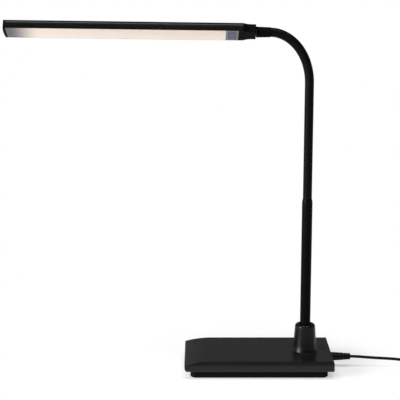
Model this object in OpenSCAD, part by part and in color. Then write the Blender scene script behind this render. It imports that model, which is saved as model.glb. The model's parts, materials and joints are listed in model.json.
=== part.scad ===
// Desk lamp: weighted base, rigid lower tube, flexible neck and a swivelling light bar.
// Frame: origin on the desk under the middle of the base, +Z up, +X towards the rear, where the
// cord leaves, and the light bar reaches out over -X. Millimetres throughout.

/* [Base] */
// Length of the base, front to rear
base_l = 173; // [155:1:200]
// Width of the base
base_w = 94; // [84:1:110]
// Height of the top face above the desk
base_h = 21.3; // [20:0.1:24]
// Height of the upper shell, from its lower rim to the top face
shell_h = 12.3; // [12:0.1:14]
// Wall of the upper shell and of the cover
wall = 2; // [1.6:0.1:2.2]
// How far the long sides bulge out from the crease along the top face
side_run = 2.2; // [1:0.1:4]
// How far the rear end bulges out from the crease along the top face
end_run = 1.2; // [0.8:0.1:2]
// Height of the bulge of the rear end
end_fall = 5.3; // [4:0.1:6]
// Radius along the lower rim of the front end
end_r = 4.5; // [3:0.5:5]
// Radius along the rest of the lower rim
rim_r = 2; // [1:0.5:3]
// Radius of the upright corners
corner_r = 2.5; // [2:0.5:6]
// Length of the slope at the front end
nose_l = 32; // [24:1:40]
// Drop of the slope at the front end
nose_drop = 5; // [3:0.5:6]

/* [Base cover] */
// How far the cover stands in from the long sides of the shell
cover_side = 5.5; // [5:0.5:8]
// How far the cover stands in from the two ends of the shell
cover_end = 6.8; // [6:0.1:9]
// Thickness of the cover's floor
floor_t = 2; // [1.6:0.1:2.4]
// Corner radius of the cover
cover_r = 6; // [4:0.5:8]
// Thickness of the non-slip pad
pad_t = 1; // [0.8:0.1:1.5]
// Margin of the cover that the pad leaves free
pad_margin = 1.5; // [1:0.5:4]

/* [Counterweight] */
// Gap between the steel plate and the driver board
weight_gap = 8.5; // [6:0.5:30]
// Gap between the steel plate and the cover's side walls
weight_side_gap = 2.5; // [1.5:0.5:12]
// Thickness of the steel plate
weight_t = 11; // [8:0.5:12]
// Front edge of the plate from the front end of the base
weight_from_end = 23; // [22:0.5:30]

/* [Stem] */
// Distance of the stem from the rear end of the base
stem_from_rear = 31; // [27.5:0.5:36]
// Diameter of the rigid lower tube
tube_d = 12.2; // [11:0.1:13]
// Wall of the rigid lower tube
tube_wall = 1.1; // [0.8:0.1:1.4]
// Length of the rigid lower tube above the base
tube_l = 181.7; // [120:0.1:240]
// Length of the taper at the top of the tube
taper_l = 3.5; // [2:0.5:6]
// Depth that the neck's core is pushed into the tube
core_grip = 16; // [10:1:24]
// Diameter of the threaded end under the base's top
thread_d = 9.6; // [9:0.1:10]
// Length of the threaded end
thread_l = 9.5; // [9:0.5:10.5]
// Outer diameter of the clamping washer
washer_d = 22; // [18:1:26]
// Thickness of the clamping washer
washer_t = 1.2; // [1:0.1:1.6]
// Width across flats of the locknut
nut_af = 15; // [14:0.5:17]
// Height of the locknut
nut_h = 4; // [3:0.5:4.5]

/* [Collar] */
// Height of the collar above the base
collar_h = 31.8; // [25:0.1:50]
// Diameter of the collar just above its foot
collar_d = 26.4; // [24:0.1:30]
// Diameter of the collar near its top
collar_top_d = 23.8; // [21:0.1:25]
// Radius of the flare at its foot
foot_r = 2.5; // [2:0.5:6]
// Radius of its top rim
top_r = 3; // [2:0.5:3.5]
// Diameter of the mouth around the tube
mouth_d = 15; // [14:0.5:16]
// Depth of the mouth
mouth_h = 4; // [2:0.5:8]

/* [Neck] */
// Diameter of the flexible sleeve
sleeve_d = 10.4; // [9:0.1:11]
// Diameter of the steel core inside the sleeve
core_d = 7; // [6:0.5:7.5]
// Bore for the leads through the core
lead_bore = 3.2; // [2.5:0.1:3.6]
// Length of sleeve between the tube and the first bending place
root_l = 13.5; // [12:0.5:20]
// Length of the straight flexible stretch
straight_l = 120; // [100:2:180]
// Radius of the first length of the bend
bend_r = 72; // [66:1:90]
// Radius of each further length against the one before
bend_ratio = 0.83; // [0.82:0.01:1]
// Angle through which the neck bends to reach the light bar
bend_turn = 89.25; // [80:0.25:100]

/* [Swivel] */
// Length of the ferrule
ferrule_l = 16.5; // [16:0.5:22]
// Diameter of the ferrule at the light bar
ferrule_d = 12.2; // [11.5:0.1:13]
// Diameter of the ferrule at the neck
ferrule_small_d = 11.2; // [10.6:0.1:11.4]
// Diameter of the swivel pin
pin_d = 7.2; // [7:0.1:8]
// Depth of the swivel pin in the ferrule
pin_in_ferrule = 7.5; // [6.5:0.5:8]
// Depth of the swivel pin in the light bar's neck
pin_in_neck = 9; // [6:0.5:11]

/* [Light bar] */
// Length of the tapered neck of the light bar
taper_neck_l = 15; // [12:0.5:20]
// Width of the tapered neck at the ferrule
neck_end_w = 19; // [15:0.5:22]
// Length of the straight part of the neck at the ferrule
neck_flat_l = 5; // [3:0.5:8]
// Length of the housing with its end cap
bar_l = 267.6; // [200:0.1:320]
// Width of the light bar
bar_w = 26.5; // [26:0.5:34]
// Thickness of the light bar
bar_t = 11.3; // [10.8:0.1:14]
// Radius of the two long edges along the top of the light bar
bar_top_r = 5; // [3:0.1:5.4]
// Radius of the two long edges along its underside
bar_low_r = 0.8; // [0.6:0.1:1.6]
// Thickness of the housing's top
bar_top = 1.3; // [1:0.1:1.6]
// Thickness of the housing's sides beside the diffuser
bar_side = 1; // [0.8:0.1:1.2]
// Width of the ledge that carries the diffuser
ledge = 1; // [0.8:0.1:1.4]
// Thickness of the end cap
cap_t = 2.5; // [1.5:0.1:4]
// Distance of the swivel's axis below the middle of the light bar
bar_lift = 0.9; // [0:0.1:1.2]
// Angle that the light bar is swivelled towards the user
bar_roll = 28; // [0:1:60]

/* [Light and switch] */
// Thickness of the diffuser
diffuser_t = 1.5; // [1:0.1:1.8]
// Length of the switch panel
panel_l = 14.2; // [13:0.1:18]
// Length of solid underside between the housing's end and the switch panel
panel_from_end = 4.9; // [3.5:0.1:8]
// Length of the power key
key_l = 9; // [7:0.1:10]
// Width of the power key
key_w = 19.6; // [14:0.1:20]
// Travel of the power key
key_travel = 0.6; // [0.4:0.1:0.7]
// Thickness of the circuit boards
board_t = 1; // [0.8:0.1:1.2]
// Room beside the circuit boards under the flat of the housing's top
board_margin = 0.3; // [0.2:0.1:4]
// Distance between neighbouring emitters
led_pitch = 9; // [6:0.5:20]

/* [Plug and cord] */
// Length of the moulded plug at the base
plug_l = 23; // [20:1:30]
// Diameter of the plug at the base
plug_d = 10.2; // [8:0.1:11]
// Diameter of the plug at the cord
plug_end_d = 7.5; // [5:0.1:8]
// Height of the socket above the lower rim of the shell
socket_rise = 3.5; // [3.4:0.1:4.6]
// Diameter of the socket's bore
socket_d = 3.6; // [3:0.1:4]
// Diameter of the cord
cord_d = 3.4; // [3:0.1:3.5]
// Turns side by side in the coil
coil_columns = 3; // [2, 3, 4]
// Turns on top of each other in the coil
coil_layers = 4; // [3, 4, 5]
// Diameter at the middle of the coil's turns
coil_mid_d = 36; // [32:1:44]

/* [Clearances] */
// Radial clearance of the swivel pin
pin_slip = 0.05; // [0.02:0.01:0.1]
// Clearance around parts that are slid into each other
slide_gap = 0.05; // [0.02:0.01:0.15]
// Clearance between a neck link's round end and its neighbour's cup
cup_gap = 0.15; // [0.1:0.01:0.2]
// Gap between the ferrule and the light bar
face_gap = 0.3; // [0.2:0.05:0.5]
// Gap around the power key
key_gap = 0.2; // [0.15:0.05:0.3]

/* [Hidden] */
$fn = 64;
big = 400;

// Base heights and places
shell_z = base_h - shell_h;
floor_z = pad_t + floor_t;
front_x = -base_l / 2;
rear_x = base_l / 2;
cover_l = base_l - 2 * cover_end;
cover_w = base_w - 2 * cover_side;
nose_r = (nose_l * nose_l + nose_drop * nose_drop) / (2 * nose_drop);
flange_t = wall;
side_upright = 1;
side_fall = shell_h - max(rim_r, flange_t) - side_upright;
boss_d = 7;
boss_from_end = 6;
boss_from_side = 6.5;
boss_x = cover_l / 2 - wall - boss_from_end;
boss_y = cover_w / 2 - wall - boss_from_side;
boss_places = [for (x = [-1, 1], y = [-1, 1]) [x * boss_x, y * boss_y]];

// Self-tapping screws
screw_d = 2.8;
screw_head_d = 5.4;
screw_head_t = 1.2;
screw_bite = 8;

// Driver board between the counterweight and the rear bosses
driver_l = 34;
driver_w = 22;
driver_t = 1.6;
driver_from_boss = 2.5;
driver_from_side = 3.5;
driver_x = boss_x - boss_d / 2 - driver_from_boss - driver_l / 2;
driver_y = cover_w / 2 - wall - driver_from_side - driver_w / 2;
post_h = 2;
post_d = 5;
driver_z = floor_z + post_h;
driver_top = driver_z + driver_t;
driver_screw_d = 2;
driver_screw_head_d = 3.8;
driver_screw_inset = 3;
driver_screw_off = [driver_l / 2 - driver_screw_inset, driver_w / 2 - driver_screw_inset];
driver_places = [for (s = [-1, 1]) [driver_x, driver_y] + s * driver_screw_off];

// Components on the driver board, each with its corner's place from the board's middle and its size
driver_blocks = [[[2, 2], [8, 6, 2.2]], [[-15, 1], [5, 4, 1.2]], [[-1, -8], [4, 3, 1]]];
capacitor_place = [-5, 4];
capacitor_d = 7;
capacitor_h = 4.6;

// Counterweight between the front end and the driver board
weight_l = driver_x - driver_l / 2 - weight_gap - front_x - weight_from_end;
weight_w = cover_w - 2 * wall - 2 * weight_side_gap;
weight_x = front_x + weight_from_end + weight_l / 2;
weight_hole_inset = [12, 14];
weight_places = [
    for (x = [-1, 1], y = [-1, 1])
        [weight_x + x * (weight_l / 2 - weight_hole_inset.x), y * (weight_w / 2 - weight_hole_inset.y)]
];

// Socket
socket_l = 12;
socket_w = 8;
socket_h = 5.6;
socket_z = shell_z + socket_rise;
socket_back = rear_x - wall - socket_l;
barrel_d = socket_d - 2 * slide_gap;
barrel_l = 9.5;
barrel_grip = 2;
barrel_end_gap = 1.5;
plug_edge = 0.8;
plug_x = rear_x + plug_l;

// Stem and neck
stem_x = rear_x - stem_from_rear;
tube_top = base_h + tube_l;
thread_hole_d = thread_d + 2 * slide_gap;
nut_z = base_h - wall - washer_t - nut_h;
flex_z = tube_top + root_l;
straight_links = 4;
bend_links = 5;
links = straight_links + bend_links;
pitch = straight_l / straight_links;
turn = bend_turn / bend_links;
cup_r = sleeve_d / 2 + cup_gap;
cup_rim = 1.8;
dome_r = sleeve_d / 2 - 0.05;
core_from_cup = cup_r + 1;
core_to_dome = 1;
core_in_ferrule = 7.5;

// Collar of the swivel pin, which snaps into a groove in the ferrule
snap_from_end = 1.7;
snap_t = 1.2;
snap_over = 0.6;

// Light bar, measured in its own frame: x from the ferrule's face, z across its thickness
bar_rise = 90 - bend_turn;
bar_x0 = -taper_neck_l;
neck_edge = 0.6;
bar_x1 = bar_x0 - bar_l;
cap_x = bar_x1 + cap_t;
half_t = bar_t / 2;
inner_top = half_t - bar_top;
slot_w = bar_w - 2 * bar_side;
cavity_w = slot_w - 2 * ledge;
cavity_r = bar_top_r - bar_top;
board_w = cavity_w - 2 * (cavity_r + board_margin);
slot_z = -half_t + diffuser_t;
panel_x0 = bar_x0 - panel_from_end;
panel_x1 = panel_x0 - panel_l;
panel_mid = (panel_x0 + panel_x1) / 2;
cap_spigot_l = 4;
led_board_from_panel = 7;
led_board_from_cap = 6;
led_board_x0 = panel_x1 - led_board_from_panel;
led_board_x1 = cap_x + led_board_from_cap;
led_size = [2.8, 3.5, 0.8];
led_count = floor((led_board_x0 - led_board_x1 - 2 * led_size.x) / led_pitch);
key_proud = 0.4;
key_r = 0.8;
flange_over = 0.8;
flange_h = 0.6;
key_board_l = 12;
contact_w = 6;
plunger_d = 3.2;
plunger_h = 0.9;

// Cord
cord_r = cord_d / 2;
coil_mid_r = coil_mid_d / 2;
coil_half_w = coil_columns * cord_d / 2;
coil_h = coil_layers * cord_d;
coil_outer_r = coil_mid_r + coil_half_w;
coil_x = 216;
coil_y = -(coil_outer_r - cord_r);
tie_w = 6;
tie_t = 0.8;
tie_slack = 0.3;
run_route = [
    [plug_x, 0, socket_z], [119, 0, 12.1], [130, 0, 11.2], [142, 0, 10.4], [154, 0, 9.7],
    [166, 0, 8.7], [178, 0, 6.8], [189, 0, 4.4], [199, 0, 2.5], [207, 0, 1.8]
];
tail_route = [[237, -33, 11.9], [236, -42, 10.2], [231, -51, 7.2], [223, -56, 4.9], [214, -57, 4.3]];
supply_x = 214;
supply_y = -57;
supply_z = 4.3;
supply_relief_l = 8;
supply_body = [28, 16, 8.4];
supply_body_r = 2;
supply_shell = [12, 12, 4.5];
supply_shell_t = 0.4;

// Leads inside the base, from the socket to the driver board and from there up the tube
lead_d = 1.8;
on_board = driver_top + lead_d / 2 + slide_gap;
feed_route = [
    [socket_back, 0, socket_z], [socket_back - lead_d, 0, socket_z],
    [socket_back - 2 * lead_d, 0, socket_z],
    [socket_back - 4 * lead_d, 3 * lead_d, socket_z - lead_d / 2],
    [socket_back - 6 * lead_d, 7 * lead_d, socket_z - 2 * lead_d],
    [driver_x + 4.5 * lead_d, driver_y - 3 * lead_d, on_board + lead_d / 2],
    [driver_x + 2.5 * lead_d, driver_y - lead_d, on_board], [driver_x + 1.5 * lead_d, driver_y, on_board]
];
riser_route = [
    [driver_x - 4.5 * lead_d, driver_y - 3.5 * lead_d, on_board],
    [driver_x - 4.5 * lead_d, driver_y - driver_w / 2, on_board + lead_d / 8],
    [driver_x - 4.5 * lead_d, driver_y - driver_w / 2 - 3 * lead_d, 3.5 * lead_d],
    [driver_x - 2 * lead_d, 0, 3.5 * lead_d],
    [stem_x - lead_d, 0, 4 * lead_d], [stem_x, 0, 6 * lead_d], [stem_x, 0, base_h + 2 * lead_d],
    [stem_x, 0, tube_top / 2], [stem_x, 0, tube_top - core_grip]
];

// Lead inside the light bar, from the swivel past the power key to the board with the emitters
lead_seat = bar_lift + inner_top - board_t - lead_d / 2 - slide_gap;
lead_side = -led_size.y / 2 - lead_d;
lamp_lead_route = [
    [pin_in_ferrule, 0, 0], [0, 0, 0], [-pin_in_neck, 0, 0], [bar_x0 - lead_d / 2, 0, 0],
    [panel_x0 - lead_d / 4, 0, 0], [panel_x0 - 2 * lead_d, -3 * lead_d, lead_d / 4],
    [panel_mid, -4.5 * lead_d, lead_d / 2], [panel_x1 - lead_d, -3.5 * lead_d, lead_d / 2],
    [led_board_x0 - 1.5 * lead_d, lead_side, lead_seat],
    [led_board_x0 - 2.5 * lead_d, lead_side, lead_seat]
];

// ---- Shared shapes ----

module round_rect(w, h, r) {
    square([w, h - 2 * r], center = true);
    square([w - 2 * r, h], center = true);
    for (x = [-1, 1], y = [-1, 1]) translate([x * (w / 2 - r), y * (h / 2 - r)]) circle(r);
}

// Extrudes a drawing of the YZ plane from x0 to x1
module along_x(x0, x1) {
    translate([min(x0, x1), 0, 0]) rotate([90, 0, 90]) linear_extrude(abs(x1 - x0)) children();
}

// A box that is centred on Y only
module box_y(x0, x1, w, z0, z1) {
    translate([min(x0, x1), -w / 2, z0]) cube([abs(x1 - x0), w, z1 - z0]);
}

// A round bar along -x from x0
module rod(x0, length, d1, d2) {
    translate([x0, 0, 0]) rotate([0, -90, 0]) cylinder(h = length, d1 = d1, d2 = d2);
}

module ring(z, h, d, bore) {
    translate([0, 0, z]) difference() {
        cylinder(h = h, d = d);
        translate([0, 0, -1]) cylinder(h = h + 2, d = bore);
    }
}

function unit(v) = v / norm(v);

// A point on the smooth curve through a route, at t from 0 to the number of its stretches
function on_curve(p, t) =
    let (n = len(p) - 1, i = min(floor(t), n - 1), u = t - i)
    let (a = p[max(i - 1, 0)], b = p[i], c = p[i + 1], d = p[min(i + 2, n)])
    0.5 * (2 * b + (c - a) * u + (2 * a - 5 * b + 4 * c - d) * u * u + (3 * b - a - 3 * c + d) * u * u * u);

// A closed tube along a route, with its rings square to the curve
module swept_tube(route, d, steps, across = [0, 0, 1], sides = 8) {
    last = (len(route) - 1) * steps;
    centres = [for (i = [0:last]) on_curve(route, i / steps)];
    rings = [
        for (i = [0:last])
            let (t = unit(centres[min(i + 1, last)] - centres[max(i - 1, 0)]))
            let (u = unit(cross(t, across)), v = cross(t, u))
            for (k = [0:sides - 1]) centres[i] + d / 2 * (cos(360 * (k + 0.5) / sides) * u
                + sin(360 * (k + 0.5) / sides) * v)
    ];
    walls = [
        for (i = [0:last - 1], k = [0:sides - 1])
            let (a = i * sides + k, b = i * sides + (k + 1) % sides)
            each [[a, b + sides, b], [a, a + sides, b + sides]]
    ];
    start = [for (k = [1:sides - 2]) [0, k, k + 1]];
    finish = [for (k = [1:sides - 2]) [last * sides, last * sides + k + 1, last * sides + k]];
    polyhedron(rings, concat(walls, start, finish), convexity = 6);
}

// ---- Base ----

// How far the slope at the front lies under the top face
function nose_fall(x) =
    let (run = max(0, front_x + nose_l - x)) nose_r - sqrt(nose_r * nose_r - run * run);

// Points along part of a circle, from one angle to another
function arc_points(c, r, a0, a1, steps = 10) =
    [for (i = [0:steps]) let (a = a0 + (a1 - a0) * i / steps) c + r * [cos(a), sin(a)]];

// The bulge of a side, from its upright part up to the crease, drawn in by an inset
function bulge_points(face, run, fall, inset) =
    let (r = (run * run + fall * fall) / (2 * run))
    arc_points([face - r, base_h - fall], r - inset, 0, asin((fall - inset) / (r - inset)));

// The block of the base seen from its long side, drawn in by an inset, from a given height up
module side_view(inset, bottom) {
    low_front = max(end_r - inset, 0.5);
    low_rear = max(rim_r - inset, 0.5);
    arc_r = nose_r - inset;
    polygon(concat(
        arc_points([front_x + inset + low_front, bottom + low_front], low_front, 180, 270),
        arc_points([rear_x - inset - low_rear, bottom + low_rear], low_rear, 270, 360),
        bulge_points(rear_x, end_run, end_fall, inset),
        arc_points([front_x + nose_l, base_h - nose_r], arc_r, 90, 90 + asin((nose_l - inset) / arc_r), 20)
    ));
}

// The same block seen from its end
module end_view(inset, bottom) {
    low = max(rim_r - inset, 0.5);
    side = concat(
        arc_points([base_w / 2 - inset - low, bottom + low], low, -90, 0),
        bulge_points(base_w / 2, side_run, side_fall, inset)
    );
    polygon(concat(side, [for (i = [len(side) - 1:-1:0]) [-side[i].x, side[i].y]]));
}

// The block itself: what its side view, its end view and its plan have in common
module base_form(inset, bottom) {
    intersection() {
        rotate([90, 0, 0]) linear_extrude(base_w + 2, center = true) side_view(inset, bottom);
        rotate([90, 0, 90]) linear_extrude(base_l + 2, center = true) end_view(inset, bottom);
        translate([0, 0, bottom - 1]) linear_extrude(2 * base_h)
            round_rect(base_l - 2 * inset, base_w - 2 * inset, max(corner_r - inset, 0.5));
    }
}

module cover_outline(margin) {
    round_rect(cover_l - 2 * margin, cover_w - 2 * margin, cover_r - margin / 2);
}

module base_top_shell() {
    color("#2b2b2d") difference() {
        union() {
            difference() {
                base_form(0, shell_z);
                base_form(wall, shell_z + flange_t);
                translate([0, 0, shell_z - 1]) linear_extrude(flange_t + 2) cover_outline(wall);
            }
            for (p = boss_places) translate([p.x, p.y, floor_z])
                cylinder(h = base_h - wall / 2 - nose_fall(p.x) - floor_z, d = boss_d);
        }
        for (p = boss_places) translate([p.x, p.y, floor_z - 1]) cylinder(h = screw_bite + 1, d = screw_d);
        translate([stem_x, 0, base_h - wall - 1]) cylinder(h = wall + 2, d = thread_hole_d);
        translate([0, 0, socket_z]) rod(rear_x + 1, wall + 2, socket_d + 1, socket_d + 1);
        socket_block();
    }
}

module base_bottom_cover() {
    color("#141415") difference() {
        union() {
            difference() {
                translate([0, 0, pad_t]) linear_extrude(shell_z - pad_t) cover_outline(0);
                translate([0, 0, floor_z]) linear_extrude(shell_z) cover_outline(wall);
            }
            for (p = driver_places) translate([p.x, p.y, floor_z - 0.5])
                cylinder(h = post_h + 0.5, d = post_d);
        }
        for (p = concat(boss_places, weight_places)) translate([p.x, p.y, 0]) {
            translate([0, 0, pad_t - 1]) cylinder(h = screw_head_t + 1, d = screw_head_d + 2 * slide_gap);
            cylinder(h = floor_z + 1, d = screw_d + 2 * slide_gap);
        }
        for (p = driver_places) translate([p.x, p.y, floor_z - 0.4])
            cylinder(h = post_h + 1, d = driver_screw_d);
    }
}

module non_slip_pad() {
    color("#1d1d1e") linear_extrude(pad_t) cover_outline(pad_margin);
}

module counterweight_plate() {
    color("#8d9094") difference() {
        translate([weight_x - weight_l / 2, -weight_w / 2, floor_z]) cube([weight_l, weight_w, weight_t]);
        for (p = weight_places) translate([p.x, p.y, floor_z - 1])
            cylinder(h = screw_bite + 1, d = screw_d);
    }
}

module screws_from_below(places) {
    for (p = places) translate([p.x, p.y, pad_t]) {
        cylinder(h = screw_head_t, d = screw_head_d);
        cylinder(h = floor_t + screw_bite - 0.5, d = screw_d);
    }
}

module weight_screws() {
    color("#b9bcc0") screws_from_below(weight_places);
}

module base_screws() {
    color("#b9bcc0") screws_from_below(boss_places);
}

module driver_board() {
    color("#2f6b46") difference() {
        translate([driver_x - driver_l / 2, driver_y - driver_w / 2, driver_z])
            cube([driver_l, driver_w, driver_t]);
        for (p = driver_places) translate([p.x, p.y, driver_z - 1])
            cylinder(h = driver_t + 2, d = driver_screw_d);
    }
}

module driver_components() {
    color("#26282b") translate([driver_x, driver_y, driver_top]) {
        for (b = driver_blocks) translate(b[0]) cube(b[1]);
        translate(capacitor_place) cylinder(h = capacitor_h, d = capacitor_d);
    }
}

module board_screws() {
    in_post = driver_t + post_h - 0.3;
    color("#b9bcc0") for (p = driver_places) translate([p.x, p.y, driver_top]) {
        cylinder(h = screw_head_t, d = driver_screw_head_d);
        translate([0, 0, -in_post]) cylinder(h = in_post + 0.5, d = driver_screw_d);
    }
}

// The socket's outer block, for which the shell has a seat
module socket_block() {
    low = socket_z - socket_h / 2;
    box_y(rear_x - wall, socket_back, socket_w, low, low + socket_h);
}

module dc_socket() {
    color("#1a1a1b") difference() {
        socket_block();
        translate([0, 0, socket_z]) rod(rear_x, wall + barrel_l, socket_d, socket_d);
    }
}

module base_leads() {
    color("#a3282c") {
        swept_tube(feed_route, lead_d, 3);
        swept_tube(riser_route, lead_d, 3, [1, 1, 0]);
    }
}

// ---- Stem ----

module stem_collar() {
    color("#232325") translate([stem_x, 0, base_h]) rotate_extrude() difference() {
        union() {
            difference() {
                polygon([
                    [tube_d / 2 + slide_gap, 0], [collar_d / 2, 0],
                    [collar_top_d / 2, collar_h], [tube_d / 2 + slide_gap, collar_h]
                ]);
                translate([collar_top_d / 2 - top_r, collar_h - top_r]) difference() {
                    square(top_r + 1);
                    circle(top_r);
                }
            }
            difference() {
                translate([collar_d / 2 - 1, 0]) square([foot_r + 1, foot_r]);
                translate([collar_d / 2 + foot_r, foot_r]) circle(foot_r);
            }
        }
        translate([0, collar_h - mouth_h]) square([mouth_d / 2, mouth_h + 1]);
    }
}

module lower_tube() {
    bore = tube_d - 2 * tube_wall;
    color("#202022") translate([stem_x, 0, 0]) difference() {
        union() {
            translate([0, 0, base_h]) cylinder(h = tube_l - taper_l, d = tube_d);
            translate([0, 0, tube_top - taper_l]) cylinder(h = taper_l, d1 = tube_d, d2 = sleeve_d);
            translate([0, 0, base_h - thread_l]) cylinder(h = thread_l + 0.5, d = thread_d);
        }
        translate([0, 0, base_h + 2]) cylinder(h = tube_l - 2 - core_grip, d = bore);
        translate([0, 0, base_h - thread_l - 1]) cylinder(h = thread_l + 4, d = thread_d - 2.4);
        translate([0, 0, tube_top - core_grip - 1]) cylinder(h = core_grip + 2, d = core_d);
    }
}

module tube_washer() {
    color("#b9bcc0") translate([stem_x, 0, 0])
        ring(base_h - wall - washer_t, washer_t, washer_d, thread_hole_d);
}

module tube_locknut() {
    color("#c8a860") translate([stem_x, 0, nut_z]) difference() {
        cylinder(h = nut_h, d = nut_af / cos(30), $fn = 6);
        translate([0, 0, -1]) cylinder(h = nut_h + 2, d = thread_hole_d);
    }
}

// ---- Flexible neck ----

// Each link starts at a bending place. Links 1 to 4 are straight, the others are lengths of the bend.
function is_bent(k) = k > straight_links;
function link_r(k) = bend_r * pow(bend_ratio, k - straight_links - 1);
function heading(k) = is_bent(k) ? (k - straight_links - 1) * turn : 0;
function facing(k) = [cos(heading(k)), sin(heading(k))];
function hinge(k) =
    !is_bent(k - 1) ? [stem_x, flex_z + (k - 1) * pitch]
    : hinge(k - 1) + link_r(k - 1) * (facing(k) - facing(k - 1));
bend_end = hinge(links + 1);

// Moves to a bending place, with +z along the neck
module at_hinge(k, angle) {
    translate([hinge(k)[0], 0, hinge(k)[1]]) rotate([0, -angle, 0]) children();
}

// A round bar that follows link k, with a margin in millimetres left free at both ends
module link_bar(k, d, from_start, from_end) {
    if (is_bent(k)) {
        r = link_r(k);
        a0 = heading(k) + from_start / r * 180 / PI;
        a1 = heading(k) + turn - from_end / r * 180 / PI;
        centre = hinge(k) - r * facing(k);
        translate([centre[0], 0, centre[1]]) rotate([90, 0, 0]) rotate([0, 0, a0])
            rotate_extrude(angle = a1 - a0) translate([r, 0]) circle(d = d);
    } else {
        at_hinge(k, 0) translate([0, 0, from_start]) cylinder(h = pitch - from_start - from_end, d = d);
    }
}

// The round end of a link, a hair slimmer than the sleeve
module dome() {
    sphere(r = dome_r);
}

// The leads' bore through a round end, a little narrower than in the core
module dome_bore() {
    translate([0, 0, -1]) cylinder(h = sleeve_d, d = lead_bore - 0.4);
}

// Carries a shape from the frame of the light bar's ferrule, whose -x runs along the ferrule
module at_ferrule() {
    translate([bend_end[0], 0, bend_end[1]]) rotate([0, bar_rise, 0]) children();
}

module neck_sleeve(k) {
    is_last = k == links;
    color("#1c1c1d") difference() {
        union() {
            link_bar(k, sleeve_d, cup_rim, 0);
            if (!is_last) at_hinge(k + 1, heading(k + 1)) dome();
        }
        at_hinge(k, 0) sphere(r = cup_r);
        link_bar(k, core_d, core_from_cup, is_last ? -1 : core_to_dome);
        link_bar(k, lead_bore, cup_rim, is_last ? -1 : 0);
        if (!is_last) at_hinge(k + 1, heading(k + 1)) dome_bore();
    }
}

module neck_core(k) {
    is_last = k == links;
    end_d = core_d - 2 * slide_gap;
    color("#9a9da1") difference() {
        union() {
            link_bar(k, core_d, core_from_cup, is_last ? 0 : core_to_dome);
            if (is_last) at_ferrule() rod(0.5, core_in_ferrule + 0.5, end_d, end_d);
        }
        link_bar(k, lead_bore, core_from_cup - 1, is_last ? 0 : core_to_dome - 1);
        if (is_last) at_ferrule() rod(1, core_in_ferrule + 2, lead_bore - 0.4, lead_bore - 0.4);
    }
}

module neck_root_sleeve() {
    color("#1c1c1d") translate([stem_x, 0, 0]) difference() {
        union() {
            translate([0, 0, tube_top]) cylinder(h = root_l, d = sleeve_d);
            translate([0, 0, flex_z]) dome();
        }
        translate([0, 0, tube_top - 1]) cylinder(h = root_l + 1 - core_to_dome, d = core_d);
        translate([0, 0, tube_top]) cylinder(h = root_l + sleeve_d, d = lead_bore);
    }
}

module neck_root_core() {
    color("#9a9da1") translate([stem_x, 0, 0])
        ring(tube_top - core_grip, core_grip + root_l - core_to_dome, core_d, lead_bore);
}

module swivel_ferrule() {
    bore_d = pin_d + 2 * pin_slip;
    bore_l = pin_in_ferrule + face_gap;
    groove_d = bore_d + 2 * (snap_over + pin_slip);
    groove_x = pin_in_ferrule - snap_from_end + face_gap;
    color("#1f1f21") at_ferrule() difference() {
        rod(0, ferrule_l, ferrule_small_d, ferrule_d);
        rod(1, core_in_ferrule + 1, core_d, core_d);
        rod(0, ferrule_l + 1, lead_bore, lead_bore);
        rod(bore_l - ferrule_l, bore_l + 1, bore_d, bore_d);
        rod(groove_x - ferrule_l, snap_t + 2 * face_gap, groove_d, groove_d);
    }
}

// ---- Light bar ----

// Carries a shape from the light bar's own frame: x = 0 at the ferrule's face, -x to the tip
module at_bar() {
    at_ferrule() translate([-ferrule_l, 0, 0]) rotate([-bar_roll, 0, 0]) children();
}

// The same frame with z = 0 at the middle of the light bar's thickness
module at_section() {
    at_bar() translate([0, 0, bar_lift]) children();
}

// The light bar's outline at a given width and thickness, with a large radius along the top
module bar_outline(w, t) {
    intersection() {
        round_rect(w, t, bar_low_r);
        translate([0, -t / 2]) round_rect(w, 2 * t, bar_top_r);
    }
}

// The cavity's outline, drawn in by a clearance, with its upper corners inside the housing's radius
module cavity_outline(gap) {
    low = slot_z - 0.5;
    high = inner_top - gap;
    intersection() {
        translate([0, (low + high) / 2]) square([cavity_w - 2 * gap, high - low], center = true);
        translate([0, high - bar_t]) round_rect(cavity_w - 2 * gap, 2 * bar_t, cavity_r);
    }
}

// The room between the housing's walls, drawn in by a clearance: slot for the diffuser, then cavity
module bar_room(x0, x1, gap) {
    box_y(x0, x1, slot_w - 2 * gap, -half_t, slot_z);
    along_x(x0, x1) cavity_outline(gap);
}

module swivel_pin() {
    snap_d = pin_d + 2 * snap_over;
    color("#a9acb0") at_bar() difference() {
        union() {
            rod(pin_in_ferrule, pin_in_ferrule + pin_in_neck, pin_d, pin_d);
            rod(pin_in_ferrule - snap_from_end, snap_t, snap_d, snap_d);
        }
        rod(pin_in_ferrule + 1, pin_in_ferrule + pin_in_neck + 2, lead_bore, lead_bore);
    }
}

module bar_neck() {
    color("#222224") difference() {
        at_section() {
            hull() {
                along_x(-face_gap - 0.8, -face_gap)
                    bar_outline(neck_end_w - 2 * neck_edge, bar_t - 2 * neck_edge);
                along_x(-face_gap - neck_flat_l, -face_gap - neck_edge) bar_outline(neck_end_w, bar_t);
            }
            hull() {
                along_x(-face_gap - neck_flat_l, -face_gap - neck_flat_l + 0.5)
                    bar_outline(neck_end_w, bar_t);
                along_x(bar_x0, bar_x0 + 0.5) bar_outline(bar_w, bar_t);
            }
            bar_room(bar_x0 + 0.5, panel_x0 + slide_gap, slide_gap);
        }
        at_bar() {
            rod(1, 1 + pin_in_neck, pin_d, pin_d);
            rod(0, taper_neck_l + panel_from_end + 1, lead_bore, lead_bore);
        }
    }
}

module bar_housing() {
    color("#1b1b1d") at_section() difference() {
        along_x(bar_x0, cap_x) bar_outline(bar_w, bar_t);
        box_y(bar_x0 + 1, cap_x - 1, slot_w, -half_t - 1, slot_z);
        along_x(bar_x0 + 1, cap_x - 1) cavity_outline(0);
    }
}

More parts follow.
